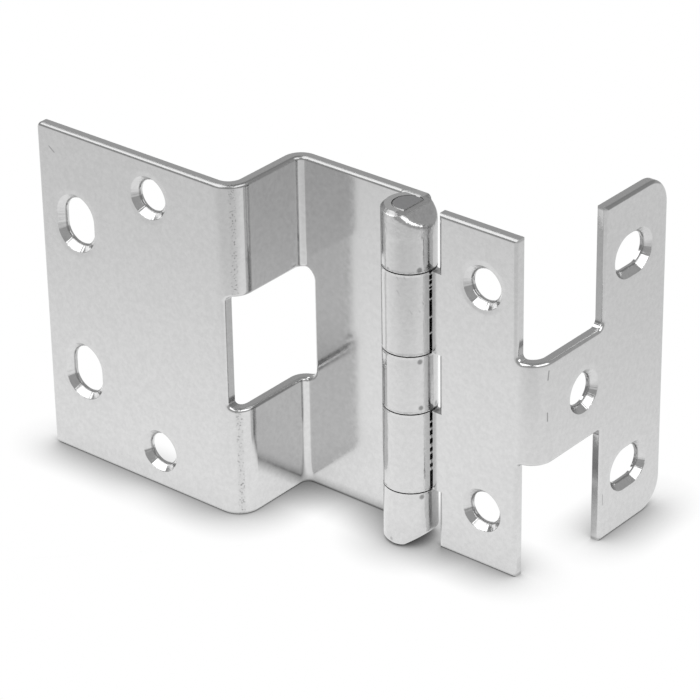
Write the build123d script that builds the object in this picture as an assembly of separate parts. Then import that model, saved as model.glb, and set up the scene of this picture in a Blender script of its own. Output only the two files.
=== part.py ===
from build123d import *
import math
import os

# Wrap-around institutional hinge for a 3/4 in overlay door.
# All sizes are millimetres. The pin stands on the Z axis and the hinge stands on Z = 0.
# X runs along the plates towards the door leaf, and Y points from the visible faces to the wood.
# At rest both leaves are spread flat, half a turn open.

# Sheet, pin and barrel
HEIGHT = 69.85               # height of both leaves and of the barrel, 2 3/4 in
SHEET = 2.0                  # steel sheet of both leaves
PIN_DIAMETER = 6.35          # 1/4 in pin
BORE_CLEARANCE = 0.025       # radial running clearance between the pin and the curled bores
DOOR_KNUCKLES = 2            # on the door leaf; the frame leaf has one more
DOOR_KNUCKLE = 16.65         # height of one of them
KNUCKLE_GAP = 0.25           # axial gap between neighbouring knuckles
CURL_GAP = 0.1               # slit between the end of a frame knuckle's curl and the plate behind it
DOOR_CURL_END = -8.0         # polar angle at which the door leaf's curl stops, just short of its web
PIN_CHAMFER = 0.25           # broken edge at both ends of the pin

# Slanted ends of the barrel
TIP_FLAT = 1.15              # how far the level end face reaches past the axis
TIP_SLOPE = 36.0             # degrees by which the slanted facet falls
TIP_ROUND = 1.3              # rounding of the facet's outer edge
TIP_SHOULDER = 0.7           # sloping shoulder round the level end face
TIP_LIP = 0.6                # height of the metal that the facet presses over the pin
LIP_CLEARANCE = 0.03         # between the pin and that lip
PLATE_END_ROUND = 1.0        # corners of the knuckle plate's end beside the facets

# Frame leaf, the Z-shaped one
OVERLAY = 19.05              # offset between the faces of its two plates, 3/4 in
WALL_REACH = 28.5            # from the pin axis to the face of the wall between the plates
PLATE_WIDTH = 49.3           # from that face to the free edge of the mounting plate
PLATE_BEND_INSIDE = 2.8      # inside radius of the bend at the mounting plate
NICHE_BEND_INSIDE = 1.7      # inside radius of the bend at the plate that carries the knuckles
PLATE_CORNER = 1.2           # corner radius of the free edge
RELIEF_REACH = 7.0           # from the axis to the end of the slots that clear the door knuckles

# Window through the wall, which the neck of the door leaf enters when the door is closed
WINDOW_HEIGHT = 23.8
WINDOW_PLATE_REACH = 3.2     # how far it runs past the wall's face into the mounting plate
WINDOW_NICHE_REACH = 2.7     # and into the knuckle plate
WINDOW_PLATE_ROUND = 1.2     # corner radius at the mounting plate
WINDOW_NICHE_ROUND = 2.5     # corner radius at the knuckle plate

# Door leaf, the L-shaped one with an H-shaped blank
STRIP_SETBACK = 0.3          # the strip's face lies this far in front of the pin axis
STRIP_CLEARANCE = 1.75       # from the barrel to the straight edge of the strip
WEB_BEND_INSIDE = 1.0        # inside radius of the reverse bend that joins strip and curl
DOOR_BEND_INSIDE = 2.8       # inside radius of the bend between strip and wing
WING_OVERHANG = 1.0          # how much farther out the wing's face lies than the wall's face
WING_LENGTH = 39.6           # from the strip's face to the end of the wing
WING_CORNER = 6.0            # corner radius at the end of the wing
LEG_WIDTH = 19.5             # width of the two legs of the wing
NECK_HEIGHT = 21.2           # height of the neck that joins strip and wing
NOTCH_STRIP_ROUND = 1.1      # notch corner radius at the strip
NOTCH_WING_ROUND = 1.5       # notch corner radius at the wing

# Rolled edge that the blanking punch leaves round the visible faces
EDGE_ROUND = 0.75

# Countersunk screw holes
HOLE_DIAMETER = 6.4
SINK_DEPTH = 1.4
SINK_ANGLE = 82.0            # included angle of the countersink
PLATE_SLOT_WIDTH = 7.3
PLATE_SLOT_EDGE = 9.1        # from the free edge of the mounting plate to its slots
PLATE_SLOT_TRAVEL = 2.4      # between the end centres of one slot
PLATE_SLOT_SPACING = 32.1
PLATE_ROUND_FROM_SLOT = 19.2
PLATE_ROUND_SPACING = 54.3
STRIP_HOLE_EDGE = 10.0       # from the strip's straight edge
STRIP_HOLE_SPACING = 46.4
NECK_HOLE_DEPTH = 14.3       # from the strip's face to the hole in the neck
WING_SLOT_WIDTH = 6.6
WING_SLOT_EDGE = 10.6        # from the end of the wing
WING_SLOT_TRAVEL = 2.8
WING_SLOT_SPACING = 44.9

# Places that follow from those sizes
MIDDLE = HEIGHT / 2
PIN_RADIUS = PIN_DIAMETER / 2
BORE_RADIUS = PIN_RADIUS + BORE_CLEARANCE
BARREL_RADIUS = BORE_RADIUS + SHEET
FRAME_KNUCKLE = (HEIGHT - DOOR_KNUCKLES * (DOOR_KNUCKLE + 2 * KNUCKLE_GAP)) / (DOOR_KNUCKLES + 1)
NICHE_FACE_Y = BARREL_RADIUS - SHEET
PLATE_FACE_Y = NICHE_FACE_Y - OVERLAY
PLATE_EDGE_X = -WALL_REACH - PLATE_WIDTH
STRIP_FACE_Y = -STRIP_SETBACK
STRIP_EDGE_X = BARREL_RADIUS + STRIP_CLEARANCE
WING_FACE_X = WALL_REACH + WING_OVERHANG
WING_END_Y = STRIP_FACE_Y + WING_LENGTH
BEND_START_X = WING_FACE_X - DOOR_BEND_INSIDE - SHEET
BEND_END_Y = STRIP_FACE_Y + DOOR_BEND_INSIDE + SHEET
NOTCH_WING_Y = WING_END_Y - LEG_WIDTH

# How far cutting solids run past what they cut, and how exactly faces are told apart
BEYOND = 3.0
SAME = 0.001

UP = (0, 0, 1)
TO_VIEWER = (0, -1, 0)
OUTWARD = (1, 0, 0)
ALONG_WING = (0, 1, 0)


def knuckle_levels():
    """Bottom and height of each knuckle. The first, third and fifth belong to the frame leaf."""
    levels = []
    bottom = 0.0
    for index in range(2 * DOOR_KNUCKLES + 1):
        height = DOOR_KNUCKLE if index % 2 else FRAME_KNUCKLE
        levels.append((bottom, height))
        bottom += height + KNUCKLE_GAP
    return levels


def frame_knuckle_levels():
    return knuckle_levels()[0::2]


def door_knuckle_levels():
    return knuckle_levels()[1::2]


def raised(plan, bottom, height):
    """Solid that stands on its plan."""
    return Pos(0, 0, bottom) * extrude(plan, amount=height)


def bent_sheet(front_points, radii):
    """Upright bent sheet. Its visible face follows the points, rounded by the given radii."""
    front = FilletPolyline(*front_points, radius=radii)
    plan = make_face(offset(front, amount=SHEET, side=Side.LEFT, closed=True))
    return raised(plan, 0, HEIGHT)


def ring_sector(centre, outer, inner, start, sweep):
    """Plan of a piece of a ring between two polar angles."""
    outside = CenterArc(centre, outer, start, sweep)
    inside = CenterArc(centre, inner, start, sweep)
    return make_face([outside, inside, Line(outside @ 0, inside @ 0), Line(outside @ 1, inside @ 1)])


def rectangle(left, low, right, high):
    """Flat rectangle between two corners."""
    return make_face(Polyline((left, low), (right, low), (right, high), (left, high), close=True))


def nearest_corner(shape, x, y):
    """The corner of a flat shape that lies nearest to a point."""
    return shape.vertices().sort_by_distance((x, y, 0))[0]


def screw_cutter(width, travel):
    """Countersunk through hole along local -Z, stretched along local X by the travel."""
    mouth_width = width + 2 * SINK_DEPTH * math.tan(math.radians(SINK_ANGLE / 2))
    if travel > 0:
        hole = SlotCenterToCenter(travel, width)
        mouth = SlotCenterToCenter(travel, mouth_width)
    else:
        hole = Circle(width / 2)
        mouth = Circle(mouth_width / 2)
    through = extrude(hole, amount=-SHEET - BEYOND)
    sink = extrude(mouth, amount=-SINK_DEPTH, taper=SINK_ANGLE / 2)
    return through + sink


def screw_pair(cutter, x, y, x_dir, normal, spacing):
    """Two countersunk holes, one above and one below mid height."""
    low = Plane(origin=(x, y, MIDDLE - spacing / 2), x_dir=x_dir, z_dir=normal)
    high = Plane(origin=(x, y, MIDDLE + spacing / 2), x_dir=x_dir, z_dir=normal)
    return [low * cutter, high * cutter]


def without(solid, cutters):
    """The solid after all the cuts."""
    for cutter in cutters:
        solid = solid - cutter
    return solid


def on_visible_side(face, planes):
    """Whether a face lies in one of the planes, or is an upright bend that touches two of them."""
    if face.geom_type == GeomType.PLANE:
        for plane in planes:
            level = (face.center() - plane.origin).dot(plane.z_dir)
            if abs(level) < SAME and face.normal_at().dot(plane.z_dir) > 1 - SAME:
                return True
        return False
    if face.geom_type != GeomType.CYLINDER or abs(face.axis_of_rotation.direction.Z) < 1 - SAME:
        return False
    touched = 0
    for plane in planes:
        levels = [abs((Vector(*corner) - plane.origin).dot(plane.z_dir)) for corner in face.vertices()]
        touched += min(levels) < SAME
    return touched > 1


def with_rolled_edges(leaf, planes):
    """Rounds the whole outline of the visible side, its openings too."""
    edges = []
    for face in leaf.faces():
        if on_visible_side(face, planes):
            edges.extend(face.edges())
    outline = [edge for edge in edges if sum(other.is_same(edge) for other in edges) == 1]
    return fillet(outline, EDGE_ROUND)


def tip_wedge(level, up, setback, depth):
    """Solid that cuts the slanted facet at one end of the barrel, or a facet that much farther in."""
    start = TIP_FLAT - setback
    run = BARREL_RADIUS + BEYOND - start
    drop = depth + run * math.tan(math.radians(TIP_SLOPE))
    side_view = make_face(Polyline(
        (start, level - up * depth),
        (start + run, level - up * drop),
        (start + run, level + up * BEYOND),
        (start, level + up * BEYOND),
        close=True,
    ))
    return extrude(Plane.XZ * side_view, amount=BARREL_RADIUS + BEYOND, both=True)


def faceted_rod(radius, past_end=0.0, setback=0.0, depth=0.0):
    """Upright rod on the hinge axis with a slanted facet at both ends."""
    rod = Cylinder(radius, HEIGHT + 2 * past_end)
    rod = Pos(0, 0, MIDDLE) * rod
    return rod - tip_wedge(HEIGHT, 1, setback, depth) - tip_wedge(0, -1, setback, depth)


def end_rims(rod):
    """The round edges of the level end faces of a faceted rod."""
    rims = []
    for edge in rod.edges().filter_by(GeomType.CIRCLE):
        height = edge.center().Z
        if min(height, HEIGHT - height) < SAME:
            rims.append(edge)
    return rims


def plate_end():
    """Block behind the axis in which the barrel keeps the square edges of the plate."""
    side_view = rectangle(0, 0, TIP_FLAT, HEIGHT)
    side_view = fillet(side_view.vertices().sort_by(Axis.X)[-2:], PLATE_END_ROUND)
    return extrude(Plane.XZ * side_view, amount=-BARREL_RADIUS)


def rounded_barrel():
    """The barrel with rounded ends and its bore, which stops short of the slanted facets."""
    sharp = faceted_rod(BARREL_RADIUS)
    soft = fillet(sharp.edges().filter_by(GeomType.ELLIPSE), TIP_ROUND)
    soft = chamfer(end_rims(soft), TIP_SHOULDER)
    bore = faceted_rod(BORE_RADIUS, past_end=BEYOND / 2, depth=TIP_LIP)
    return soft + (sharp & plate_end()) - bore


def frame_knuckle(bottom, height):
    """One curled knuckle of the frame leaf, closed against the plate."""
    reach = BARREL_RADIUS + BEYOND
    square = rectangle(-reach, -reach, reach, reach)
    open_part = rectangle(-reach, NICHE_FACE_Y - CURL_GAP, 0, reach)
    return rounded_barrel() & raised(square - open_part, bottom, height)


def window_cutter():
    """Window through the wall and into both bends."""
    left = -WALL_REACH - WINDOW_PLATE_REACH
    right = -WALL_REACH + WINDOW_NICHE_REACH
    outline = rectangle(left, MIDDLE - WINDOW_HEIGHT / 2, right, MIDDLE + WINDOW_HEIGHT / 2)
    outline = fillet(outline.vertices().sort_by(Axis.X)[:2], WINDOW_PLATE_ROUND)
    outline = fillet(outline.vertices().sort_by(Axis.X)[-2:], WINDOW_NICHE_ROUND)
    return extrude(Plane.XZ * outline, amount=OVERLAY + BEYOND, both=True)


def relief_cutter(bottom, height):
    """Slot in the knuckle plate that clears one door knuckle and its web."""
    outline = rectangle(-RELIEF_REACH, bottom - KNUCKLE_GAP, BEYOND, bottom + height + KNUCKLE_GAP)
    return extrude(Plane.XZ.offset(-BARREL_RADIUS - BEYOND) * outline, amount=SHEET + 2 * BEYOND)


def frame_leaf():
    """Z-shaped leaf with the window in its wall and three knuckles."""
    front_points = [
        (PLATE_EDGE_X, PLATE_FACE_Y),
        (-WALL_REACH, PLATE_FACE_Y),
        (-WALL_REACH, NICHE_FACE_Y),
        (BEYOND, NICHE_FACE_Y),
    ]
    leaf = bent_sheet(front_points, [PLATE_BEND_INSIDE + SHEET, NICHE_BEND_INSIDE])
    leaf = fillet(leaf.edges().filter_by(Axis.Y).group_by(Axis.X)[0], PLATE_CORNER)
    leaf = leaf - window_cutter()
    leaf = with_rolled_edges(leaf, [
        Plane(origin=(0, PLATE_FACE_Y, 0), z_dir=TO_VIEWER),
        Plane(origin=(-WALL_REACH, 0, 0), z_dir=OUTWARD),
        Plane(origin=(0, NICHE_FACE_Y, 0), z_dir=TO_VIEWER),
    ])
    leaf = split(leaf, Plane.YZ, keep=Keep.BOTTOM)
    leaf = without(leaf, [relief_cutter(bottom, height) for bottom, height in door_knuckle_levels()])
    for bottom, height in frame_knuckle_levels():
        leaf = leaf + frame_knuckle(bottom, height)
    slot_x = PLATE_EDGE_X + PLATE_SLOT_EDGE
    round_x = slot_x + PLATE_ROUND_FROM_SLOT
    slot = screw_cutter(PLATE_SLOT_WIDTH, PLATE_SLOT_TRAVEL)
    slots = screw_pair(slot, slot_x, PLATE_FACE_Y, UP, TO_VIEWER, PLATE_SLOT_SPACING)
    hole = screw_cutter(HOLE_DIAMETER, 0)
    rounds = screw_pair(hole, round_x, PLATE_FACE_Y, UP, TO_VIEWER, PLATE_ROUND_SPACING)
    return without(leaf, slots + rounds)


def notch_cutter():
    """Upper one of the two notches that turn the blank of the door leaf into an H."""
    low = MIDDLE + NECK_HEIGHT / 2
    high = HEIGHT + BEYOND
    far_x = WING_FACE_X + BEYOND
    bend_side = rectangle(BEND_START_X, low, far_x, high)
    bend_side = fillet(nearest_corner(bend_side, BEND_START_X, low), NOTCH_STRIP_ROUND)
    past_bend = extrude(Plane.XZ.offset(-BEND_END_Y) * bend_side, amount=BEND_END_Y - STRIP_FACE_Y + BEYOND)
    wing_side = rectangle(BEND_END_Y, low, NOTCH_WING_Y, high)
    wing_side = fillet(nearest_corner(wing_side, NOTCH_WING_Y, low), NOTCH_WING_ROUND)
    depth = SHEET + 2 * BEYOND
    past_wing = extrude(Plane.YZ.offset(far_x - depth) * wing_side, amount=depth)
    return past_bend + past_wing


def door_curl():
    """Plan of a door knuckle with the reverse bend that joins it to the strip."""
    middle_y = STRIP_FACE_Y + SHEET / 2
    bend_y = middle_y + SHEET / 2 + WEB_BEND_INSIDE
    bend_x = math.sqrt((BARREL_RADIUS + WEB_BEND_INSIDE) ** 2 - bend_y ** 2)
    joint = math.degrees(math.atan2(bend_y, bend_x))
    ring = ring_sector((0, 0), BARREL_RADIUS, BORE_RADIUS, joint, 360 + DOOR_CURL_END - joint)
    web = ring_sector((bend_x, bend_y), WEB_BEND_INSIDE + SHEET, WEB_BEND_INSIDE, 180 + joint, 90 - joint)
    straight = rectangle(bend_x, STRIP_FACE_Y, STRIP_EDGE_X + EDGE_ROUND, STRIP_FACE_Y + SHEET)
    return ring + web + straight


def door_leaf():
    """L-shaped leaf with a neck between strip and wing and two knuckles."""
    leaf = bent_sheet(
        [(STRIP_EDGE_X, STRIP_FACE_Y), (WING_FACE_X, STRIP_FACE_Y), (WING_FACE_X, WING_END_Y)],
        DOOR_BEND_INSIDE + SHEET,
    )
    upper_notch = notch_cutter()
    lower_notch = mirror(upper_notch, Plane.XY.offset(MIDDLE))
    leaf = leaf - upper_notch - lower_notch
    leaf = fillet(leaf.edges().filter_by(Axis.X).group_by(Axis.Y)[-1], WING_CORNER)
    leaf = with_rolled_edges(leaf, [
        Plane(origin=(0, STRIP_FACE_Y, 0), z_dir=TO_VIEWER),
        Plane(origin=(WING_FACE_X, 0, 0), z_dir=OUTWARD),
    ])
    for bottom, height in door_knuckle_levels():
        leaf = leaf + raised(door_curl(), bottom, height)
    hole_x = STRIP_EDGE_X + STRIP_HOLE_EDGE
    hole = screw_cutter(HOLE_DIAMETER, 0)
    strip_holes = screw_pair(hole, hole_x, STRIP_FACE_Y, UP, TO_VIEWER, STRIP_HOLE_SPACING)
    slot_y = WING_END_Y - WING_SLOT_EDGE
    slot = screw_cutter(WING_SLOT_WIDTH, WING_SLOT_TRAVEL)
    wing_slots = screw_pair(slot, WING_FACE_X, slot_y, ALONG_WING, OUTWARD, WING_SLOT_SPACING)
    neck_spot = Plane(origin=(WING_FACE_X, STRIP_FACE_Y + NECK_HOLE_DEPTH, MIDDLE), z_dir=OUTWARD)
    return without(leaf, strip_holes + wing_slots + [neck_spot * hole])


def hinge_pin():
    """Pin through all the knuckles, level with the end faces and held by the lips under the facets."""
    pin = faceted_rod(PIN_RADIUS, setback=LIP_CLEARANCE, depth=TIP_LIP + LIP_CLEARANCE)
    return chamfer(end_rims(pin), PIN_CHAMFER)


os.makedirs("parts", exist_ok=True)
export_step(frame_leaf(), "parts/frame_leaf.step")
export_step(door_leaf(), "parts/door_leaf.step")
export_step(hinge_pin(), "parts/hinge_pin.step")
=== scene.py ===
"""Looks of an institutional hinge: bright satin chrome on bent sheet steel, on a white studio floor.

The solids hold the shapes and stay where they are. This script gives each of them its plating, with the
lips of the countersinks, the stake marks, the pitted bend, the scratches and the nicks that the surface
carries, and with painted shade round the holes, over the bend, beside the slits and on the rims. It adds
the torn metal in the slits of the door knuckles, and sets floor, lamps and camera.
Lengths are in millimetres where a name or a docstring says so, and in metres elsewhere.
"""

import logging
import math
from dataclasses import dataclass, field
from enum import Enum
from typing import Optional, Union

import bmesh
import bpy
from mathutils import Matrix, Vector


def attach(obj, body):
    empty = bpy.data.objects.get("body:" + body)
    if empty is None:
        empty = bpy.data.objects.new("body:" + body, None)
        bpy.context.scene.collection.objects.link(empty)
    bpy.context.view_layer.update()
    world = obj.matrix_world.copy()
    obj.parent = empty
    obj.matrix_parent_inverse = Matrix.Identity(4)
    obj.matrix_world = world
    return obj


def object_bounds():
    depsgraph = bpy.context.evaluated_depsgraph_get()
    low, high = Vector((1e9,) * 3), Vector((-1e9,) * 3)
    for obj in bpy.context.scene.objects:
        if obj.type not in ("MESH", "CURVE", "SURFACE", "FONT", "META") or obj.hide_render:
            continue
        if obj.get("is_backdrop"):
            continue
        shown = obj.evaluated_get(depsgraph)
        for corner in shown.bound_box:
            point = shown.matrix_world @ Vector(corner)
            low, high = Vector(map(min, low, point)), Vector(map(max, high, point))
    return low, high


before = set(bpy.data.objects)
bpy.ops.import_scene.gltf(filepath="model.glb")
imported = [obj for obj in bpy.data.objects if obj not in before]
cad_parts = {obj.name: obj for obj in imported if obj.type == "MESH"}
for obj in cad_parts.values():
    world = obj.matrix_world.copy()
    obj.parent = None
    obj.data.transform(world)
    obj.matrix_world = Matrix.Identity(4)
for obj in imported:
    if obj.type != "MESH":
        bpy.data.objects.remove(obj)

logger = logging.getLogger("hinge")

MM = 0.001
HEIGHT_MM = 69.85
MIDDLE_MM = HEIGHT_MM / 2
DOOR_BODY = "door"
WHITE = (1.0, 1.0, 1.0, 1.0)
SMOOTH = {"interpolation_type": "SMOOTHSTEP"}
TIMES = {"operation": "MULTIPLY"}
LARGER = {"operation": "MAXIMUM"}
FALLING = {"To Min": 1.0, "To Max": 0.0}
ACROSS = (1.0, 1.0, 0.0)  # weights that leave the height out
OUTWARD = 0.9  # least share along X in the normal of a tooth's outer end

Pair = tuple[float, float]
Triple = tuple[float, float, float]
Colour = tuple[float, float, float, float]
Tree = bpy.types.NodeTree
Socket = bpy.types.NodeSocket
Sockets = bpy.types.NodeOutputs
Part = tuple[Socket, float]
Link = Union[Socket, float, tuple]


class Slot(Enum):
    """Material slots of the record, named as its nodes are."""

    FRAME_LEAF = "frame_leaf"
    DOOR_LEAF = "door_leaf"
    PIN = "hinge_pin"


class Seen(Enum):
    """The plane that a countersunk face lies in, as weights of X, Y and Z across it."""

    FROM_FRONT = (1.0, 0.0, 1.0)
    FROM_RIGHT = (0.0, 1.0, 1.0)


def linear(hex_colour: str) -> Colour:
    """Turns an sRGB hex colour into linear light.

    Args:
        hex_colour: Six hex digits after a hash sign.

    Returns:
        Red, green, blue and an alpha of 1.
    """
    parts = [int(hex_colour[i:i + 2], 16) / 255 for i in (1, 3, 5)]
    red, green, blue = (c / 12.92 if c <= 0.04045 else ((c + 0.055) / 1.055) ** 2.4 for c in parts)
    return red, green, blue, 1.0


def metres(place_mm: Triple) -> Triple:
    """Turns a place or a size in millimetres into metres."""
    return tuple(value * MM for value in place_mm)


def add_node(tree: Tree, kind: str, settings: Optional[dict] = None,
             links: Optional[dict[Union[int, str], Link]] = None) -> bpy.types.Node:
    """Adds one shader node.

    Args:
        tree: Node tree of a material or of the world.
        kind: The node's type without the words ShaderNode.
        settings: Attributes of the node and their values.
        links: For each input, by name or number, the output that feeds it or its value.

    Returns:
        The new node.
    """
    node = tree.nodes.new("ShaderNode" + kind)
    for name, value in (settings or {}).items():
        setattr(node, name, value)
    for key, value in (links or {}).items():
        if isinstance(value, Socket):
            tree.links.new(value, node.inputs[key])
        else:
            node.inputs[key].default_value = value
    return node


def blank_material(name: str) -> bpy.types.Material:
    """Makes a material with an empty node tree.

    Args:
        name: Name of the material.

    Returns:
        The material, with no nodes in it.
    """
    material = bpy.data.materials.new(name)
    material.use_nodes = True
    material.node_tree.nodes.clear()
    return material


@dataclass(frozen=True)
class Countersink:
    """Where a countersink opens in a visible face, in millimetres.

    Args:
        centre: Its middle.
        radius: Half its width on the face.
        seen: The plane of the face.
        travel: From its middle to the centre of each round end, along X, Y and Z.
    """

    centre: Triple
    radius: float
    seen: Seen
    travel: Triple = (0.0, 0.0, 0.0)


@dataclass(frozen=True)
class Spot:
    """A small round spot on the surface, in millimetres; marks and patches of painted shade use it.

    Args:
        centre: Its middle.
        radius: Where it ends.
        weight: How strongly it shows, up to 1.
        core: Share of the radius within which it is strongest.
    """

    centre: Triple
    radius: float
    weight: float = 0.5
    core: float = 0.35


@dataclass(frozen=True)
class Scratch:
    """A straight scratch on the surface, in millimetres.

    Args:
        start: One end.
        end: The other end.
        half_width: Half its width, beyond which it fades out over as much again.
        weight: How strongly it shows, up to 1.
    """

    start: Triple
    end: Triple
    half_width: float = 0.12
    weight: float = 0.6


@dataclass(frozen=True)
class PittedShadedBand:
    """An upright band that bending has roughened, with a painted shade over it, in millimetres.

    Args:
        x: Place of its middle line along X.
        y: Place of its middle line along Y.
        reach: Distance from that line at which the pits end.
        core: Share of the reach within which they are strongest.
        pit_mm: Size of a pit.
        noise: Step of the noise that is a pit.
        weight: How strongly the ground, a painted shade over the band, and the pits show, up to 1.
    """

    x: float
    y: float
    reach: float
    core: float = 0.2
    pit_mm: float = 0.38
    noise: Pair = (0.56, 0.72)
    # the first weight is a painted shade over the whole band
    weight: Pair = (0.08, 0.62)


@dataclass(frozen=True)
class SatinChrome:
    """Decorative chromium on rolled sheet steel, tumbled to a satin.

    The plate is thin and follows the steel under it, so reflections are soft at their edges and faintly
    mottled. Cut faces are duller than rolled ones, and a painted shade darkens their rims and the knuckle
    plate's end to dim the highlights there. The steel is drawn in round each countersink, and a painted
    shade darkens the ring where it meets its hole. Rolling and swaging have marked the barrel.

    A pair is the start and the end of a step. A rise is a height as a share of relief_mm.

    Args:
        name: Name of the material.
        sinks: Countersinks in the piece.
        spots: Stake marks, stains and patches of painted shade.
        scratches: Scratches and nicks.
        pitted_and_shaded: Pitted bends, with a painted shade over them.
        light: Colour of the plate where the mottling is high.
        dull: Colour where it is low.
        sheared: Colour of the faces that the blanking punch has cut.
        edge_band: Colour of the rims round them.
        stain_and_shade: Colour of the marks and of the painted shade.
        roughness: Roughness of the rolled faces.
        roughness_spread: How much the mottling changes it.
        sheared_dullness: What cut faces and marks add to it.
        edge_band: Colour of the rims round them and of the knuckle plate's end, a painted shade.
        edge_band_dullness: What those rims add to it.
        swaged_dullness: What the swaged ends add to it.
        mottle_mm: Size of the mottling.
        mottle_rise_mm: Its height.
        mottle_noise: Its noise from dull to light.
        grain_mm: Size of the grain, drawn coarser than the real one, which is too fine to show.
        grain_rise_mm: Its height.
        cut_turn: The normal's height at which a face counts as cut.
        rim_mm: Distance above or below the middle at which the rims start.
        end_turn: The normal's share along X at which a face counts as the knuckle plate's end.
        end_x_mm: Where that end lies along X.
        end_y_mm: Where that end lies along Y.
        relief_mm: Height of the relief whose rise is 1.
        mark_rise: Height of the marks, which lie deeper.
        tear_mm: Size of the tears on cut faces.
        tear_stretch: How fine they are along each axis.
        tear_rise: Their height.
        lip_mm: Where the drawn-in lip starts and ends, from the countersink's edge outwards.
        lip_rise: Height of the lip.
        cone_mm: Width of the rounded part of the cone.
        cone_turn: The normal's height from the rounded upper side to the lower one.
        cone_rise: Height of the rounding.
        ray_scale: How many radial streaks a cone has.
        ray_mm: How far inside its edge they start.
        ray_rise: Their height.
        sink_mm: Depth below the visible face at which a countersink ends.
        hole_shade_mm: From the countersink's edge to its hole, and the width of the painted shade there.
        hole_shade_weight: How strongly that painted shade shows.
        barrel_mm: Distance from the pin's axis at which the barrel ends.
        swaged_mm: Levels beyond which the barrel is swaged, at the foot and at the top.
        swaged_reach_mm: Half the height of the step there.
        foot_share: How strongly the foot is swaged, where the top is 1.
        rolled_mm: Width of the barrel's upright streaks.
        rolled_stretch: How fine they are along each axis.
        rolled_rise: Their height.
        pressed_mm: Size of the barrel's mottling.
        pressed_rise: Its height.
        dent_mm: Size of the dents in the swaged ends.
        dent_rise: Their height.
        seams_mm: Levels of the seams between the knuckles.
        seam_mm: Distance from a seam at which its crushed rim ends.
        seam_rise: Height of the crushed rims.
    """

    name: str
    sinks: tuple[Countersink, ...] = ()
    spots: tuple[Spot, ...] = ()
    scratches: tuple[Scratch, ...] = ()
    pitted_and_shaded: tuple[PittedShadedBand, ...] = ()
    light: str = "#d3d3d3"
    dull: str = "#cbcbcb"
    sheared: str = "#cdcdcd"
    # painted shade: darker colour that dims the highlights on the rims and the knuckle plate's end
    edge_band: str = "#b0b0b0"
    # dark colour of the marks, and of the painted shade on the holes, the bend and the slits
    stain_and_shade: str = "#565656"
    roughness: float = 0.12
    roughness_spread: float = 0.05
    sheared_dullness: float = 0.16
    edge_band_dullness: float = 0.13
    swaged_dullness: float = 0.10
    mottle_mm: float = 0.9
    mottle_rise_mm: float = 0.003
    mottle_noise: Pair = (0.35, 0.65)
    grain_mm: float = 0.25
    grain_rise_mm: float = 0.0008
    cut_turn: Pair = (0.90, 0.998)
    rim_mm: Pair = (34.15, 34.6)
    end_turn: Pair = (0.80, 0.95)
    end_x_mm: Pair = (6.5, 6.0)
    end_y_mm: Pair = (2.4, 3.0)
    relief_mm: float = 0.1
    mark_rise: float = -0.5
    tear_mm: float = 0.4
    tear_stretch: Triple = (1.0, 1.0, 0.3)
    tear_rise: float = 0.25
    lip_mm: Pair = (-0.3, 1.1)
    lip_rise: float = -1.0
    cone_mm: float = 1.3
    cone_turn: Pair = (-0.75, 0.1)
    cone_rise: float = 5.0
    ray_scale: float = 9.0
    ray_mm: float = 0.1
    ray_rise: float = 0.6
    sink_mm: Pair = (1.22, 1.6)
    # painted shade: a dark ring where the countersink meets its hole
    hole_shade_mm: Pair = (1.22, 0.28)
    hole_shade_weight: float = 0.75
    barrel_mm: Pair = (5.35, 5.75)
    swaged_mm: Pair = (5.0, 64.85)
    swaged_reach_mm: float = 1.0
    foot_share: float = 0.6
    rolled_mm: float = 0.55
    rolled_stretch: Triple = (1.0, 1.0, 0.12)
    rolled_rise: float = 0.2
    pressed_mm: float = 0.6
    pressed_rise: float = 0.14
    dent_mm: float = 1.1
    dent_rise: float = 1.1
    seams_mm: tuple[float, ...] = (11.98, 28.88, 40.98, 57.88)
    seam_mm: Pair = (0.1, 0.7)
    seam_rise: float = 1.1

    def build(self) -> bpy.types.Material:
        """Builds the material.

        Returns:
            The finished material.
        """
        material = blank_material(self.name)
        tree = material.node_tree
        coordinates = add_node(tree, "TexCoord")
        place = coordinates.outputs["Object"]
        facing = add_node(tree, "SeparateXYZ", links={0: coordinates.outputs["Normal"]}).outputs

        mottle = add_node(tree, "TexNoise", links={
            "Vector": place, "Scale": 1 / (self.mottle_mm * MM), "Detail": 4.0,
            "Roughness": 0.6}).outputs["Fac"]
        grain = add_node(tree, "TexNoise", links={
            "Vector": place, "Scale": 1 / (self.grain_mm * MM), "Detail": 2.0}).outputs["Fac"]
        share = add_node(tree, "MapRange", links={
            "Value": mottle, "From Min": self.mottle_noise[0], "From Max": self.mottle_noise[1]}).outputs[0]
        cut, edge_band = self.cut_masks(tree, place, facing)
        barrel, swaged = self.barrel_masks(tree, place)
        # one mask and one dark colour serve the marks and the painted shade
        marks_and_shade = self.marks_and_shade(tree, place)

        colour = add_node(tree, "Mix", {"data_type": "RGBA"}, {
            0: share, 6: linear(self.dull), 7: linear(self.light)}).outputs[2]
        # painted shade: the rims take the first of these colours; the holes, the bend and the slits take
        # the last
        for mask, tint in ((edge_band, self.edge_band), (cut, self.sheared), (marks_and_shade, self.stain_and_shade)):
            colour = add_node(tree, "Mix", {"data_type": "RGBA"}, {
                0: mask, 6: colour, 7: linear(tint)}).outputs[2]

        dullness = add_node(tree, "MapRange", links={
            "Value": share, "To Min": self.roughness - self.roughness_spread / 2,
            "To Max": self.roughness + self.roughness_spread / 2}).outputs[0]
        for mask, more in ((cut, self.sheared_dullness), (edge_band, self.edge_band_dullness),
                           (marks_and_shade, self.sheared_dullness), (swaged, self.swaged_dullness)):
            dullness = add_node(tree, "Math", {"operation": "MULTIPLY_ADD"}, {
                0: mask, 1: more, 2: dullness}).outputs[0]

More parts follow.
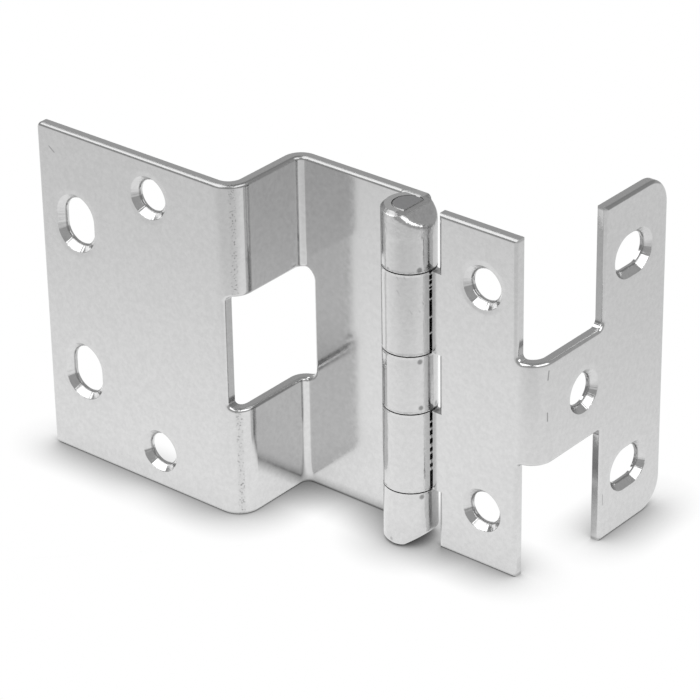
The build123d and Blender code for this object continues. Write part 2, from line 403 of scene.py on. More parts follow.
        parts = [(marks_and_shade, self.mark_rise), self.tears(tree, place, cut)]
        parts += self.barrel_relief(tree, place, barrel, swaged)
        for sink in self.sinks:
            parts += self.sink_relief(tree, place, facing["Z"], sink)
        relief = 0.0
        for part, rise in parts:
            relief = add_node(tree, "Math", {"operation": "MULTIPLY_ADD"}, {
                0: part, 1: rise, 2: relief}).outputs[0]

        normal = None
        for rise, height in ((self.mottle_rise_mm, mottle), (self.grain_rise_mm, grain),
                             (self.relief_mm, relief)):
            bump = add_node(tree, "Bump", links={"Strength": 1.0, "Distance": rise * MM, "Height": height})
            if normal:
                tree.links.new(normal, bump.inputs["Normal"])
            normal = bump.outputs["Normal"]
        metal = add_node(tree, "BsdfPrincipled", links={
            "Base Color": colour, "Metallic": 1.0, "Roughness": dullness, "Normal": normal})
        add_node(tree, "OutputMaterial", links={"Surface": metal.outputs[0]})
        return material

    def cut_masks(self, tree: Tree, place: Socket, facing: Sockets) -> tuple[Socket, Socket]:
        """Masks of the faces that the blanking punch has cut, and of the rims that take a painted shade.

        Args:
            tree: The node tree.
            place: Object coordinates.
            facing: X, Y and Z of the surface normal.

        Returns:
            Mask of the cut faces, which look up or down, and mask of the rims and the knuckle plate's end,
            on which shade is painted.
        """
        upright = add_node(tree, "Math", {"operation": "ABSOLUTE"}, {0: facing["Z"]}).outputs[0]
        cut = add_node(tree, "MapRange", SMOOTH, {
            "Value": upright, "From Min": self.cut_turn[0], "From Max": self.cut_turn[1]}).outputs[0]
        spread = add_node(tree, "SeparateXYZ", links={0: place}).outputs
        level = add_node(tree, "Math", {"operation": "SUBTRACT"}, {
            0: spread["Z"], 1: MIDDLE_MM * MM}).outputs[0]
        level = add_node(tree, "Math", {"operation": "ABSOLUTE"}, {0: level}).outputs[0]
        rim = add_node(tree, "MapRange", SMOOTH, {
            "Value": level, "From Min": self.rim_mm[0] * MM, "From Max": self.rim_mm[1] * MM}).outputs[0]
        end = add_node(tree, "MapRange", SMOOTH, {
            "Value": facing["X"], "From Min": self.end_turn[0], "From Max": self.end_turn[1]}).outputs[0]
        for side, step in (("X", self.end_x_mm), ("Y", self.end_y_mm)):
            within = add_node(tree, "MapRange", links={
                "Value": spread[side], "From Min": step[0] * MM, "From Max": step[1] * MM}).outputs[0]
            end = add_node(tree, "Math", TIMES, {0: end, 1: within}).outputs[0]
        return cut, add_node(tree, "Math", LARGER, {0: rim, 1: end}).outputs[0]

    def marks_and_shade(self, tree: Tree, place: Socket) -> Link:
        """Mask of the stake marks, stains, scratches and pits, and of the painted shade over the bend,
        round the holes and beside the slits.

        Args:
            tree: The node tree.
            place: Object coordinates.

        Returns:
            The mask, or 0 where the piece has none of them.
        """
        mask = 0.0
        parts = [self.spot_mask(tree, place, spot) for spot in self.spots]
        parts += [self.scratch_mask(tree, place, scratch) for scratch in self.scratches]
        parts += [self.pit_and_shade_mask(tree, place, band) for band in self.pitted_and_shaded]
        parts += [self.hole_shade_mask(tree, place, sink) for sink in self.sinks]
        for part in parts:
            mask = add_node(tree, "Math", LARGER, {0: mask, 1: part}).outputs[0]
        return mask

    def spot_mask(self, tree: Tree, place: Socket, spot: Spot) -> Socket:
        """Mask of one round mark.

        Args:
            tree: The node tree.
            place: Object coordinates.
            spot: The mark.

        Returns:
            The mask.
        """
        away = add_node(tree, "VectorMath", {"operation": "DISTANCE"}, {
            0: place, 1: metres(spot.centre)}).outputs["Value"]
        return add_node(tree, "MapRange", SMOOTH, {
            "Value": away, "From Min": spot.core * spot.radius * MM, "From Max": spot.radius * MM,
            "To Min": spot.weight, "To Max": 0.0}).outputs[0]

    def scratch_mask(self, tree: Tree, place: Socket, scratch: Scratch) -> Socket:
        """Mask of one scratch, from the distance to the line between its ends.

        Args:
            tree: The node tree.
            place: Object coordinates.
            scratch: The scratch.

        Returns:
            The mask.
        """
        start = Vector(metres(scratch.start))
        run = Vector(metres(scratch.end)) - start
        way = add_node(tree, "VectorMath", {"operation": "SUBTRACT"}, {0: place, 1: start[:]}).outputs[0]
        along = add_node(tree, "VectorMath", {"operation": "DOT_PRODUCT"}, {
            0: way, 1: (run / run.length_squared)[:]}).outputs["Value"]
        along = add_node(tree, "Clamp", links={"Value": along}).outputs[0]
        foot = add_node(tree, "VectorMath", {"operation": "SCALE"}, {0: run[:], "Scale": along}).outputs[0]
        away = add_node(tree, "VectorMath", {"operation": "DISTANCE"}, {0: way, 1: foot}).outputs["Value"]
        return add_node(tree, "MapRange", SMOOTH, {
            "Value": away, "From Max": 2 * scratch.half_width * MM,
            "To Min": scratch.weight, "To Max": 0.0}).outputs[0]

    def pit_and_shade_mask(self, tree: Tree, place: Socket, band: PittedShadedBand) -> Socket:
        """Mask of the pits in one roughened band, and of the painted shade over it.

        Args:
            tree: The node tree.
            place: Object coordinates.
            band: The band.

        Returns:
            The mask.
        """
        flat = add_node(tree, "VectorMath", TIMES, {0: place, 1: ACROSS}).outputs[0]
        away = add_node(tree, "VectorMath", {"operation": "DISTANCE"}, {
            0: flat, 1: metres((band.x, band.y, 0.0))}).outputs["Value"]
        inside = add_node(tree, "MapRange", SMOOTH, {
            "Value": away, "From Min": band.core * band.reach * MM, "From Max": band.reach * MM,
            **FALLING}).outputs[0]
        pits = add_node(tree, "TexNoise", links={
            "Vector": place, "Scale": 1 / (band.pit_mm * MM), "Detail": 1.0}).outputs["Fac"]
        deep = add_node(tree, "MapRange", links={
            "Value": pits, "From Min": band.noise[0], "From Max": band.noise[1],
            "To Min": band.weight[0], "To Max": band.weight[1]}).outputs[0]
        return add_node(tree, "Math", TIMES, {0: inside, 1: deep}).outputs[0]

    def hole_shade_mask(self, tree: Tree, place: Socket, sink: Countersink) -> Socket:
        """Mask of the painted shade where one countersink meets its hole.

        Args:
            tree: The node tree.
            place: Object coordinates.
            sink: The countersink.

        Returns:
            The mask.
        """
        _, away, front = self.sink_places(tree, place, sink)
        inset, width = self.hole_shade_mm
        hole = sink.radius - inset
        # a dark ring of painted shade at the hole's edge
        hole_shade = add_node(tree, "MapRange", SMOOTH, {
            "Value": away, "From Min": hole * MM, "From Max": (hole + width) * MM,
            "To Min": self.hole_shade_weight, "To Max": 0.0}).outputs[0]
        return add_node(tree, "Math", TIMES, {0: hole_shade, 1: front}).outputs[0]

    def tears(self, tree: Tree, place: Socket, cut: Socket) -> Part:
        """Tears that the punch has left on the cut faces.

        Args:
            tree: The node tree.
            place: Object coordinates.
            cut: Mask of the cut faces.

        Returns:
            Mask of the tears and the height that it adds.
        """
        drawn = add_node(tree, "VectorMath", TIMES, {
            0: place, 1: self.tear_stretch}).outputs[0]
        tears = add_node(tree, "TexNoise", links={
            "Vector": drawn, "Scale": 1 / (self.tear_mm * MM), "Detail": 2.0}).outputs["Fac"]
        tears = add_node(tree, "Math", TIMES, {0: tears, 1: cut}).outputs[0]
        return tears, self.tear_rise

    def sink_relief(self, tree: Tree, place: Socket, upright: Socket,
                    sink: Countersink) -> list[Part]:
        """Lip, rounded upper side and radial streaks of one countersink.

        Args:
            tree: The node tree.
            place: Object coordinates.
            upright: Height of the surface normal.
            sink: The countersink.

        Returns:
            Masks and the height that each adds.
        """
        out, away, front = self.sink_places(tree, place, sink)
        lip_start, lip_end = ((sink.radius + reach) * MM for reach in self.lip_mm)
        lip = add_node(tree, "MapRange", SMOOTH, {
            "Value": away, "From Min": lip_start, "From Max": lip_end, **FALLING}).outputs[0]
        cone = add_node(tree, "MapRange", links={
            "Value": away, "From Min": (sink.radius - self.cone_mm) * MM, "From Max": sink.radius * MM,
            **FALLING}).outputs[0]
        upper = add_node(tree, "MapRange", SMOOTH, {
            "Value": upright, "From Min": self.cone_turn[0], "From Max": self.cone_turn[1],
            **FALLING}).outputs[0]
        rounded = add_node(tree, "Math", TIMES, {0: cone, 1: upper}).outputs[0]
        ray = add_node(tree, "VectorMath", {"operation": "NORMALIZE"}, {0: out}).outputs[0]
        streaks = add_node(tree, "TexNoise", links={
            "Vector": ray, "Scale": self.ray_scale, "Detail": 2.0}).outputs["Fac"]
        inside = add_node(tree, "MapRange", SMOOTH, {
            "Value": away, "From Min": (sink.radius - self.ray_mm) * MM, "From Max": sink.radius * MM,
            **FALLING}).outputs[0]
        streaks = add_node(tree, "Math", TIMES, {0: streaks, 1: inside}).outputs[0]
        shaped = []
        for mask, rise in ((lip, self.lip_rise), (rounded, self.cone_rise), (streaks, self.ray_rise)):
            mask = add_node(tree, "Math", TIMES, {0: mask, 1: front}).outputs[0]
            shaped.append((mask, rise))
        return shaped

    def sink_places(self, tree: Tree, place: Socket,
                    sink: Countersink) -> tuple[Socket, Socket, Socket]:
        """Measures from one countersink to the point that is shaded.

        Args:
            tree: The node tree.
            place: Object coordinates.
            sink: The countersink.

        Returns:
            Way from its middle across the face, distance from its middle line, and a mask of the sunk side.
        """
        way = add_node(tree, "VectorMath", {"operation": "SUBTRACT"}, {
            0: place, 1: metres(sink.centre)}).outputs[0]
        inward = tuple(1.0 - share for share in sink.seen.value)
        deep = add_node(tree, "VectorMath", TIMES, {0: way, 1: inward}).outputs[0]
        deep = add_node(tree, "VectorMath", {"operation": "LENGTH"}, {0: deep}).outputs["Value"]
        front = add_node(tree, "MapRange", SMOOTH, {
            "Value": deep, "From Min": self.sink_mm[0] * MM, "From Max": self.sink_mm[1] * MM,
            **FALLING}).outputs[0]
        out = add_node(tree, "VectorMath", TIMES, {0: way, 1: sink.seen.value}).outputs[0]
        away = add_node(tree, "VectorMath", {"operation": "ABSOLUTE"}, {0: out}).outputs[0]
        away = add_node(tree, "VectorMath", {"operation": "SUBTRACT"}, {
            0: away, 1: metres(sink.travel)}).outputs[0]
        away = add_node(tree, "VectorMath", LARGER, {
            0: away, 1: (0.0, 0.0, 0.0)}).outputs[0]
        away = add_node(tree, "VectorMath", {"operation": "LENGTH"}, {0: away}).outputs["Value"]
        return out, away, front

    def barrel_masks(self, tree: Tree, place: Socket) -> tuple[Socket, Socket]:
        """Masks of the barrel and of its two outer ends, which are swaged over the pin.

        Args:
            tree: The node tree.
            place: Object coordinates.

        Returns:
            Mask of the barrel and mask of its ends.
        """
        flat = add_node(tree, "VectorMath", TIMES, {0: place, 1: ACROSS}).outputs[0]
        radius = add_node(tree, "VectorMath", {"operation": "LENGTH"}, {0: flat}).outputs["Value"]
        barrel = add_node(tree, "MapRange", SMOOTH, {
            "Value": radius, "From Min": self.barrel_mm[0] * MM, "From Max": self.barrel_mm[1] * MM,
            **FALLING}).outputs[0]
        level = add_node(tree, "SeparateXYZ", links={0: place}).outputs["Z"]
        swaged = []
        for middle, shares in zip(self.swaged_mm, ((self.foot_share, 0.0), (0.0, 1.0))):
            swaged.append(add_node(tree, "MapRange", SMOOTH, {
                "Value": level, "From Min": (middle - self.swaged_reach_mm) * MM,
                "From Max": (middle + self.swaged_reach_mm) * MM,
                "To Min": shares[0], "To Max": shares[1]}).outputs[0])
        ends = add_node(tree, "Math", {"operation": "ADD"}, dict(enumerate(swaged))).outputs[0]
        ends = add_node(tree, "Math", TIMES, {0: ends, 1: barrel}).outputs[0]
        return barrel, ends

    def barrel_relief(self, tree: Tree, place: Socket, barrel: Socket,
                      swaged: Socket) -> list[Part]:
        """Streaks and mottling from rolling the curls, dents from swaging, crushed rims at the seams.

        Args:
            tree: The node tree.
            place: Object coordinates.
            barrel: Mask of the barrel.
            swaged: Mask of its two outer ends.

        Returns:
            Masks and the height that each adds.
        """
        drawn = add_node(tree, "VectorMath", TIMES, {
            0: place, 1: self.rolled_stretch}).outputs[0]
        streaks = add_node(tree, "TexNoise", links={
            "Vector": drawn, "Scale": 1 / (self.rolled_mm * MM), "Detail": 3.0}).outputs["Fac"]
        streaks = add_node(tree, "Math", TIMES, {0: barrel, 1: streaks}).outputs[0]
        dents = add_node(tree, "TexNoise", links={
            "Vector": place, "Scale": 1 / (self.dent_mm * MM), "Detail": 3.0,
            "Roughness": 0.6}).outputs["Fac"]
        dents = add_node(tree, "Math", TIMES, {0: swaged, 1: dents}).outputs[0]
        pressed = add_node(tree, "TexNoise", links={
            "Vector": place, "Scale": 1 / (self.pressed_mm * MM), "Detail": 2.0,
            "Roughness": 0.6}).outputs["Fac"]
        pressed = add_node(tree, "Math", TIMES, {0: pressed, 1: barrel}).outputs[0]
        shaped = [(streaks, self.rolled_rise), (dents, self.dent_rise), (pressed, self.pressed_rise)]

        level = add_node(tree, "SeparateXYZ", links={0: place}).outputs["Z"]
        for seam in self.seams_mm:
            away = add_node(tree, "Math", {"operation": "SUBTRACT"}, {0: level, 1: seam * MM}).outputs[0]
            away = add_node(tree, "Math", {"operation": "ABSOLUTE"}, {0: away}).outputs[0]
            near = add_node(tree, "MapRange", SMOOTH, {
                "Value": away, "From Min": self.seam_mm[0] * MM, "From Max": self.seam_mm[1] * MM,
                **FALLING}).outputs[0]
            crushed = add_node(tree, "Math", TIMES, {0: pressed, 1: near}).outputs[0]
            shaped.append((crushed, self.seam_rise))
        return shaped


@dataclass(frozen=True)
class WhiteFloor:
    """White photographic paper, lit until it burns out, with the shadow that a part keeps round its foot.

    The camera sees it white up to the contact shadow. The metal mirrors it brightest round the hinge and
    greyer far out, as paper in a room is. The lamps stand in front, so the paper behind the leaves lies in
    their shade. In front of the hinge lies the room's, which stays in its place when the view changes.

    A pair is the start and the end of a step, and a gain is a brightness, where 1 is white.

    Args:
        name: Name of the material.
        colour: The paper's own colour.
        shadow_reach_mm: How far the contact shadow reaches.
        shadow_depth: How strong the camera sees it.
        shadow_samples: Rays that look for it.
        front_depth: How strong the metal mirrors it in front of the leaves.
        back_reach_mm: How far the leaves' shade reaches behind them.
        back_depth: How strong the metal mirrors that shade.
        back_samples: Rays that look for the leaves.
        back_x_mm: Where the shade starts along X.
        back_y_mm: Where it starts along Y.
        room_way: Direction from the hinge to the room's shade.
        room_mm: Distance that way at which it starts.
        room_share: Share of the brightness that is left in it.
        pool_centre: Middle of the lamps' pool of light.
        pool_stretch: How fast the pool falls off along each axis.
        pool_mm: Where the pool ends.
        near_gain: Gain in the middle of the pool.
        side_gain: Gain where it ends.
        paper_mm: Distance at which the paper fades into the room.
        far_gain: Gain of the room.
    """

    name: str = "white_paper"
    colour: str = "#f0f0f0"
    shadow_reach_mm: float = 10.5
    shadow_depth: float = 1.32
    shadow_samples: int = 16
    front_depth: float = 0.12
    back_reach_mm: float = 42.0
    back_depth: float = 1.5
    back_samples: int = 8
    back_x_mm: Pair = (29.0, 26.0)
    back_y_mm: Pair = (0.0, 5.0)
    room_way: Triple = (0.56, -0.83, 0.0)
    room_mm: Pair = (55.0, 105.0)
    room_share: float = 0.90
    pool_centre: Triple = (-32.0, -8.0, 0.0)
    pool_stretch: Triple = (0.6, 1.0, 0.0)
    pool_mm: float = 150.0
    near_gain: float = 1.13
    side_gain: float = 0.85
    paper_mm: Pair = (250.0, 800.0)
    far_gain: float = 0.45

    def build(self) -> bpy.types.Material:
        """Builds the material.

        Returns:
            The finished material.
        """
        material = blank_material(self.name)
        tree = material.node_tree
        place = add_node(tree, "TexCoord").outputs["Object"]
        open_sky = add_node(tree, "AmbientOcclusion", {"samples": self.shadow_samples}, {
            "Color": WHITE, "Distance": self.shadow_reach_mm * MM}).outputs["AO"]
        seen = add_node(tree, "Math", {"operation": "POWER"}, {
            0: open_sky, 1: self.shadow_depth}).outputs[0]
        mirrored = add_node(tree, "Math", TIMES, {
            0: self.pool(tree, place), 1: self.leaves_shade(tree, place, open_sky)}).outputs[0]

        ray = add_node(tree, "LightPath").outputs
        by_metal = add_node(tree, "Math", LARGER, {
            0: ray["Is Glossy Ray"], 1: ray["Is Transmission Ray"]}).outputs[0]
        strength = add_node(tree, "Mix", {"data_type": "FLOAT"}, {
            0: ray["Is Camera Ray"], 2: mirrored, 3: seen}).outputs[0]
        looked_at = add_node(tree, "Math", LARGER, {
            0: ray["Is Camera Ray"], 1: by_metal}).outputs[0]
        glow = add_node(tree, "Emission", links={"Color": WHITE, "Strength": strength})
        paper = add_node(tree, "BsdfDiffuse", links={"Color": linear(self.colour)})
        both = add_node(tree, "MixShader", links={0: looked_at, 1: paper.outputs[0], 2: glow.outputs[0]})
        add_node(tree, "OutputMaterial", links={"Surface": both.outputs[0]})
        return material

    def pool(self, tree: Tree, place: Socket) -> Socket:
        """Brightness of the paper in the lamps' pool of light, with the room's shade on it.

        Args:
            tree: The node tree.
            place: Object coordinates.

        Returns:
            The brightness.
        """
        out = add_node(tree, "VectorMath", {"operation": "SUBTRACT"}, {
            0: place, 1: metres(self.pool_centre)}).outputs[0]
        out = add_node(tree, "VectorMath", TIMES, {0: out, 1: self.pool_stretch}).outputs[0]
        away = add_node(tree, "VectorMath", {"operation": "LENGTH"}, {0: out}).outputs["Value"]
        pool = add_node(tree, "MapRange", SMOOTH, {
            "Value": away, "From Max": self.pool_mm * MM,
            "To Min": self.near_gain, "To Max": self.side_gain}).outputs[0]
        faded = add_node(tree, "MapRange", SMOOTH, {
            "Value": away, "From Min": self.paper_mm[0] * MM, "From Max": self.paper_mm[1] * MM}).outputs[0]
        pool = add_node(tree, "Mix", {"data_type": "FLOAT"}, {
            0: faded, 2: pool, 3: self.far_gain}).outputs[0]
        nearer = add_node(tree, "VectorMath", {"operation": "DOT_PRODUCT"}, {
            0: place, 1: self.room_way}).outputs["Value"]
        shade = add_node(tree, "MapRange", SMOOTH, {
            "Value": nearer, "From Min": self.room_mm[0] * MM, "From Max": self.room_mm[1] * MM,
            "To Min": 1.0, "To Max": self.room_share}).outputs[0]
        return add_node(tree, "Math", TIMES, {0: pool, 1: shade}).outputs[0]

    def leaves_shade(self, tree: Tree, place: Socket, open_sky: Socket) -> Socket:
        """Share of the brightness that the leaves leave, faint in front of them and deep behind.

        Args:
            tree: The node tree.
            place: Object coordinates.
            open_sky: How open the paper is close by.

        Returns:
            The share.
        """
        front = add_node(tree, "Math", {"operation": "POWER"}, {
            0: open_sky, 1: self.front_depth}).outputs[0]
        wide = add_node(tree, "AmbientOcclusion", {"samples": self.back_samples}, {
            "Color": WHITE, "Distance": self.back_reach_mm * MM}).outputs["AO"]
        back = add_node(tree, "Math", {"operation": "POWER"}, {0: wide, 1: self.back_depth}).outputs[0]
        spread = add_node(tree, "SeparateXYZ", links={0: place}).outputs
        behind = 1.0
        for side, step in (("X", self.back_x_mm), ("Y", self.back_y_mm)):
            within = add_node(tree, "MapRange", links={
                "Value": spread[side], "From Min": step[0] * MM, "From Max": step[1] * MM}).outputs[0]
            behind = add_node(tree, "Math", TIMES, {0: within, 1: behind}).outputs[0]
        return add_node(tree, "Mix", {"data_type": "FLOAT"}, {0: behind, 2: front, 3: back}).outputs[0]


@dataclass
class TornEdge:
    """Torn metal along the slit where a door knuckle's curl comes back to its web, in millimetres.

    Shearing leaves small teeth on the end of the curl. They catch the light in the dark slit.

    Args:
        name: Name of the piece.
        teeth: Level of the middle of each tooth and its height.
        place: Middle of the teeth along X and Y.
        depth: How far a tooth reaches into the slit.
        width: Its size across the slit.
        turn: Degrees by which the slit is turned from Y.
        ridge: Size of its outer end across the slit and upwards, as shares of the inner end's.
        edge_band: Width of its rounded edges.
        worn_steps: Faces across such an edge.
        smooth_angle: Degrees between faces up to which they are shaded as one.
    """

    name: str
    teeth: tuple[Pair, ...]
    place: Pair = (4.965, -0.50)
    depth: float = 0.36
    width: float = 0.42
    turn: float = -8.0
    ridge: Pair = (0.7, 0.6)
    edge_band: float = 0.06
    worn_steps: int = 2
    smooth_angle: float = 40.0

    def build(self, finish: bpy.types.Material) -> bpy.types.Object:
        """Models the teeth and lets them ride on the door leaf.

        Args:
            finish: Plating of the teeth.

        Returns:
            The finished piece.
        """
        first = self.tooth()
        teeth = []
        for level, height in self.teeth:
            tooth = first.copy()
            tooth.data = first.data.copy()
            bpy.context.scene.collection.objects.link(tooth)
            tooth.data.transform(Matrix.Diagonal((1.0, 1.0, height, 1.0)))
            tooth.data.transform(Matrix.Translation((0.0, 0.0, level * MM)))
            teeth.append(tooth)
        bpy.data.objects.remove(first)
        bpy.ops.object.select_all(action="DESELECT")
        for tooth in teeth:
            tooth.select_set(True)
        bpy.context.view_layer.objects.active = teeth[0]
        bpy.ops.object.join()
        piece = bpy.context.object
        piece.name = self.name
        piece.data.name = self.name
        piece.data.materials.clear()
        piece.data.materials.append(finish)
        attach(piece, DOOR_BODY)
        return piece

    def tooth(self) -> bpy.types.Object:
        """Models one tooth, 1 mm high round level 0: a block whose outer end is drawn to a worn ridge.

        Returns:
            The tooth, with its place in its mesh.
        """
        bpy.ops.object.select_all(action="DESELECT")
        bpy.ops.mesh.primitive_cube_add(size=1.0)
        tooth = bpy.context.object
        tooth.scale = metres((self.depth, self.width, 1.0))
        tooth.rotation_euler.z = math.radians(self.turn)
        tooth.location = metres((*self.place, 0.0))
        bpy.ops.object.transform_apply(location=True, rotation=True, scale=True)
        bpy.ops.object.mode_set(mode="EDIT")
        bpy.ops.mesh.select_all(action="DESELECT")
        shape = bmesh.from_edit_mesh(tooth.data)
        for face in shape.faces:
            face.select = face.normal.x > OUTWARD
        bmesh.update_edit_mesh(tooth.data)
        bpy.ops.transform.resize(value=(1.0, *self.ridge))
        bpy.ops.object.mode_set(mode="OBJECT")
        bevel = tooth.modifiers.new("edge_band", "BEVEL")
        bevel.width = self.edge_band * MM
        bevel.segments = self.worn_steps
        bpy.ops.object.modifier_apply(modifier=bevel.name)
        bpy.ops.object.shade_smooth_by_angle(angle=math.radians(self.smooth_angle))
        return tooth


@dataclass
class FrameLeaf:
    """The Z-shaped leaf that is screwed to the cabinet, with its three curled knuckles, in millimetres.

    Args:
        slot_place: X and Y of the two upright slots' countersinks.
        slot_radius: Half their width.
        slot_travel: From their middle to the centre of each round end.
        slot_spacing: Between the slots.
        round_x: X of the two round countersinks.
        round_radius: Their radius.
        round_spacing: Between them.
        stakes: Marks of the stakes that hold the curls, and stains beside them.
        nicks: Nicks in the mounting plate.
        pitted_and_shaded: The bend that is pitted and has a painted shade over it.
    """

    slot_place: Pair = (-68.7, -15.85)
    slot_radius: float = 4.87
    slot_travel: float = 1.2
    slot_spacing: float = 32.1
    round_x: float = -49.5
    round_radius: float = 4.42
    round_spacing: float = 54.3
    stakes: tuple[Spot, ...] = (
        Spot((-0.82, -5.13, 58.45), 0.45, 0.35), Spot((4.47, -2.64, 58.7), 0.75, 0.65),
        Spot((4.46, -2.65, 39.85), 0.72, 0.65), Spot((4.54, -2.52, 30.15), 0.68, 0.65),
        Spot((4.59, -2.44, 11.05), 0.72, 0.65), Spot((-0.67, -5.15, 1.35), 0.5, 0.35),
        Spot((5.08, -1.0, 58.75), 0.7, 0.4), Spot((5.0, 1.3, 29.7), 0.8, 0.5),
        Spot((4.45, 2.68, 39.0), 0.8, 0.35),
    )
    nicks: tuple[Scratch, ...] = (Scratch((-74.64, -15.85, 65.57), (-73.39, -15.85, 64.67), 0.13, 0.5),)
    # pits and a painted shade on the bend beside the mounting plate
    pitted_and_shaded: tuple[PittedShadedBand, ...] = (PittedShadedBand(-29.85, -14.35, 0.95),)

    def sinks(self) -> tuple[Countersink, ...]:
        """Places of the four countersinks in the mounting plate.

        Returns:
            The countersinks.
        """
        places = []
        for side in (-0.5, 0.5):
            level = MIDDLE_MM + side * self.slot_spacing
            places.append(Countersink((*self.slot_place, level), self.slot_radius,
                                      Seen.FROM_FRONT, (0.0, 0.0, self.slot_travel)))
            level = MIDDLE_MM + side * self.round_spacing
            places.append(Countersink((self.round_x, self.slot_place[1], level), self.round_radius,
                                      Seen.FROM_FRONT))
        return tuple(places)

    def dress(self) -> None:
        """Gives the leaf its plating."""
        finish = SatinChrome("satin_chrome_frame_leaf", sinks=self.sinks(), spots=self.stakes,
                             scratches=self.nicks, pitted_and_shaded=self.pitted_and_shaded)
        dress_node(Slot.FRAME_LEAF, finish.build())


@dataclass
class DoorLeaf:
    """The L-shaped leaf that is screwed to the door, with its two curled knuckles, in millimetres.

    Args:
        round_radius: Radius of the three round countersinks.
        strip_place: X and Y of the two in the strip.
        strip_spacing: Between those two.
        neck_place: X and Y of the one in the neck.
        slot_y: Y of the two level slots' countersinks in the wing.
        slot_radius: Half their width.
        slot_travel: From their middle to the centre of each round end.
        slot_spacing: Between the slots.
        spots: Painted shade beside the slits, at the top of each door knuckle.
        scratches: Ticks on neck and wing, and the hatching on the upper knuckle.
        torn_roughness: Roughness of the torn metal.
        upper_slit: Torn metal in the upper knuckle's slit.
        lower_slit: Torn metal in the lower one's.
    """

    round_radius: float = 4.42
    strip_place: Pair = (16.95, -0.3)
    strip_spacing: float = 46.4
    neck_place: Pair = (29.5, 14.0)
    slot_y: float = 28.7
    slot_radius: float = 4.52
    slot_travel: float = 1.4
    slot_spacing: float = 44.9
    # painted shade beside the slits, under the seam with the frame knuckle above
    spots: tuple[Spot, ...] = (Spot((5.6, 0.3, 57.6), 0.8, 0.45), Spot((5.7, 0.6, 28.6), 0.8, 0.5))
    scratches: tuple[Scratch, ...] = (
        Scratch((29.33, 3.26, 43.81), (29.27, 3.07, 42.03)),
        Scratch((29.27, 3.06, 35.22), (29.28, 3.09, 33.55)),
        Scratch((29.5, 20.53, 9.86), (29.5, 20.61, 7.64), 0.1, 0.45),
        Scratch((1.19, -5.05, 57.25), (4.49, -2.60, 50.15), 0.1, 0.22),
        Scratch((2.44, -4.59, 57.45), (4.85, -1.87, 51.61), 0.1, 0.22),
        Scratch((1.16, -5.06, 54.60), (3.57, -3.77, 49.93), 0.1, 0.22),
    )
    torn_roughness: float = 0.25
    upper_slit: TornEdge = field(default_factory=lambda: TornEdge("torn_slit_upper", (
        (57.2, 0.35), (56.0, 0.3), (54.9, 0.45), (54.1, 0.3), (52.1, 0.4), (48.4, 0.45), (45.1, 0.4))))
    lower_slit: TornEdge = field(default_factory=lambda: TornEdge("torn_slit_lower", (
        (26.5, 0.4), (25.0, 0.6), (23.3, 0.75), (21.4, 0.85), (19.9, 0.55), (18.0, 0.85), (16.45, 0.7))))

    def sinks(self) -> tuple[Countersink, ...]:
        """Places of the five countersinks in the strip, the neck and the wing.

        Returns:
            The countersinks.
        """
        places = [Countersink((*self.neck_place, MIDDLE_MM), self.round_radius, Seen.FROM_RIGHT)]
        for side in (-0.5, 0.5):
            level = MIDDLE_MM + side * self.strip_spacing
            places.append(Countersink((*self.strip_place, level), self.round_radius, Seen.FROM_FRONT))
            level = MIDDLE_MM + side * self.slot_spacing
            places.append(Countersink((self.neck_place[0], self.slot_y, level), self.slot_radius,
                                      Seen.FROM_RIGHT, (0.0, self.slot_travel, 0.0)))
        return tuple(places)

    def dress(self) -> None:
        """Gives the leaf its plating and adds the torn metal in its slits."""
        finish = SatinChrome("satin_chrome_door_leaf", sinks=self.sinks(), spots=self.spots,
                             scratches=self.scratches)
        dress_node(Slot.DOOR_LEAF, finish.build())
        torn = SatinChrome("satin_chrome_torn_edge", roughness=self.torn_roughness).build()
        for slit in (self.upper_slit, self.lower_slit):
            piece = slit.build(torn)
            logger.info("%s modelled, %d faces", piece.name, len(piece.data.polygons))


@dataclass
class HingePin:
    """The pin, of which only the two ends show."""

    def dress(self) -> None:
        """Gives the pin its plating, rougher than that of the leaves where it was cut off."""
        finish = SatinChrome("satin_chrome_pin", light="#d0d0d0", dull="#8c8c8d", sheared="#a6a6a7",
                             roughness=0.22, mottle_mm=0.8, mottle_rise_mm=0.08)
        dress_node(Slot.PIN, finish.build())


def dress_node(slot: Slot, finish: bpy.types.Material) -> None:
    """Gives one solid its finish.

    Args:
        slot: The solid, which has its slot's name.
        finish: The material.
    """
    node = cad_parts[slot.value]
    node.data.materials.clear()
    node.data.materials.append(finish)
    logger.info("%s dressed in %s", slot.value, finish.name)


@dataclass(frozen=True)
class SoftBox:
    """A soft box that faces the hinge.

    Args:
        name: Name of the lamp.
        way: Direction from the hinge to its middle.
        width: Width of its panel, which is level.
        height: Height of its panel.
        radiance: How bright the panel looks, where 1 is white.
        distance: From the hinge.
    """

    name: str
    way: Triple
    width: float
    height: float
    radiance: float
    distance: float = 1.0


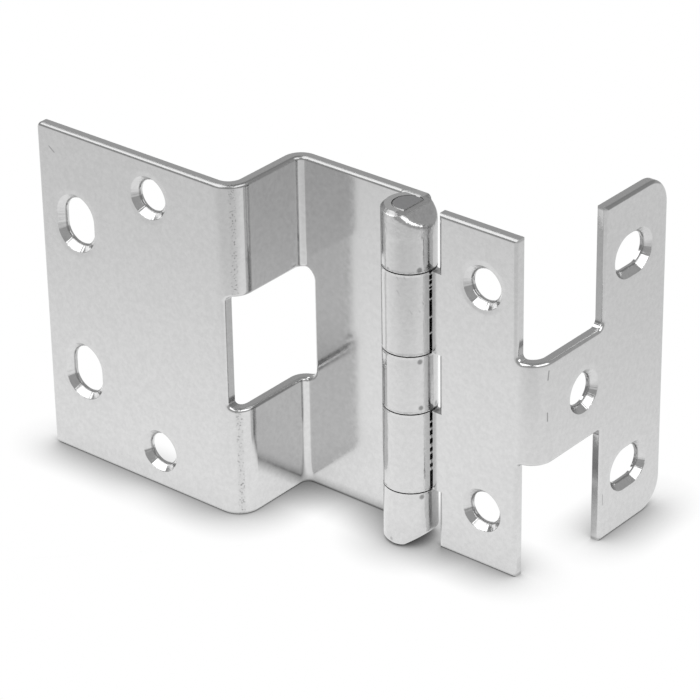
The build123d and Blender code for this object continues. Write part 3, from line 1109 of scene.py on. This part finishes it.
@dataclass
class Studio:
    """Floor, lamps, room and camera round the hinge.

    Args:
        floor_half: Half the floor's side.
        lens_mm: Focal length.
        sensor_mm: Width of the sensor.
        camera_place: Where the camera stands.
        azimuth: Degrees from the hinge's front to the camera, to the right.
        elevation: Degrees from the floor up to the camera.
        roll: Degrees by which the camera is turned about its view.
        clip: Nearest and farthest distance that the camera sees.
        room_low: Brightness of the room near the horizon.
        room_high: Its brightness overhead.
        room_turn: Step of a direction's height between the two.
        boxes: The soft boxes.
    """

    floor_half: float = 3.0
    lens_mm: float = 178.78
    sensor_mm: float = 36.0
    camera_place: Triple = (0.35228, -0.43821, 0.34475)
    azimuth: float = 39.92
    elevation: float = 28.47
    roll: float = -0.95
    clip: Pair = (0.01, 20.0)
    room_low: float = 0.45
    room_high: float = 0.36
    room_turn: Pair = (0.60, 0.80)
    boxes: tuple[SoftBox, ...] = (
        SoftBox("front_box", (-0.36, -0.44, 0.82), 1.25, 0.85, 1.65),
        SoftBox("right_box", (0.66, -0.03, 0.75), 0.95, 0.6, 1.65),
    )

    def floor(self) -> bpy.types.Object:
        """Lays the floor under the lowest point of the hinge.

        Returns:
            The floor.
        """
        bpy.ops.object.select_all(action="DESELECT")
        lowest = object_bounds()[0].z
        bpy.ops.mesh.primitive_plane_add(size=2 * self.floor_half, location=(0, 0, lowest))
        plane = bpy.context.object
        plane.name = "floor"
        plane.data.materials.append(WhiteFloor().build())
        plane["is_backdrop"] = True
        return plane

    def lamps(self) -> None:
        """Hangs the soft boxes round the hinge."""
        for box in self.boxes:
            data = bpy.data.lights.new(box.name, "AREA")
            data.shape = "RECTANGLE"
            data.size = box.width
            data.size_y = box.height
            data.energy = box.radiance * math.pi * box.width * box.height
            lamp = bpy.data.objects.new(box.name, data)
            bpy.context.scene.collection.objects.link(lamp)
            way = Vector(box.way).normalized()
            lamp.location = way * box.distance
            lamp.rotation_euler = way.to_track_quat("Z", "Y").to_euler()

    def room(self) -> None:
        """Fills the room with even light, darker overhead than near the horizon."""
        world = bpy.data.worlds.new("room")
        world.use_nodes = True
        tree = world.node_tree
        tree.nodes.clear()
        way = add_node(tree, "TexCoord").outputs["Generated"]
        height = add_node(tree, "SeparateXYZ", links={0: way}).outputs["Z"]
        level = add_node(tree, "MapRange", SMOOTH, {
            "Value": height, "From Min": self.room_turn[0], "From Max": self.room_turn[1],
            "To Min": self.room_low, "To Max": self.room_high})
        air = add_node(tree, "Background", links={"Color": WHITE, "Strength": level.outputs[0]})
        add_node(tree, "OutputWorld", links={"Surface": air.outputs[0]})
        bpy.context.scene.world = world

    def camera(self) -> None:
        """Stands the camera where the photograph was taken from."""
        around, above, roll = (math.radians(turn) for turn in (self.azimuth, self.elevation, self.roll))
        back = Vector((math.sin(around) * math.cos(above), -math.cos(around) * math.cos(above),
                       math.sin(above)))
        right = Vector((math.cos(around), math.sin(around), 0))
        up = back.cross(right)
        tilted_right = right * math.cos(roll) + up * math.sin(roll)
        tilted_up = up * math.cos(roll) - right * math.sin(roll)
        data = bpy.data.cameras.new("camera")
        data.lens = self.lens_mm
        data.sensor_width = self.sensor_mm
        data.clip_start, data.clip_end = self.clip
        camera = bpy.data.objects.new("camera", data)
        bpy.context.scene.collection.objects.link(camera)
        turn = Matrix((tilted_right, tilted_up, back)).transposed()
        camera.matrix_world = Matrix.Translation(self.camera_place) @ turn.to_4x4()
        bpy.context.scene.camera = camera

    def build(self) -> None:
        """Sets up the whole studio."""
        self.floor()
        self.lamps()
        self.room()
        self.camera()
        bpy.context.scene.view_settings.view_transform = "Standard"


def main() -> None:
    """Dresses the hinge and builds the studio."""
    logging.basicConfig(level=logging.INFO, format="%(message)s")
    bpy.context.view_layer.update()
    for assembly in (FrameLeaf(), DoorLeaf(), HingePin()):
        assembly.dress()
    Studio().build()


if __name__ == "__main__":
    main()
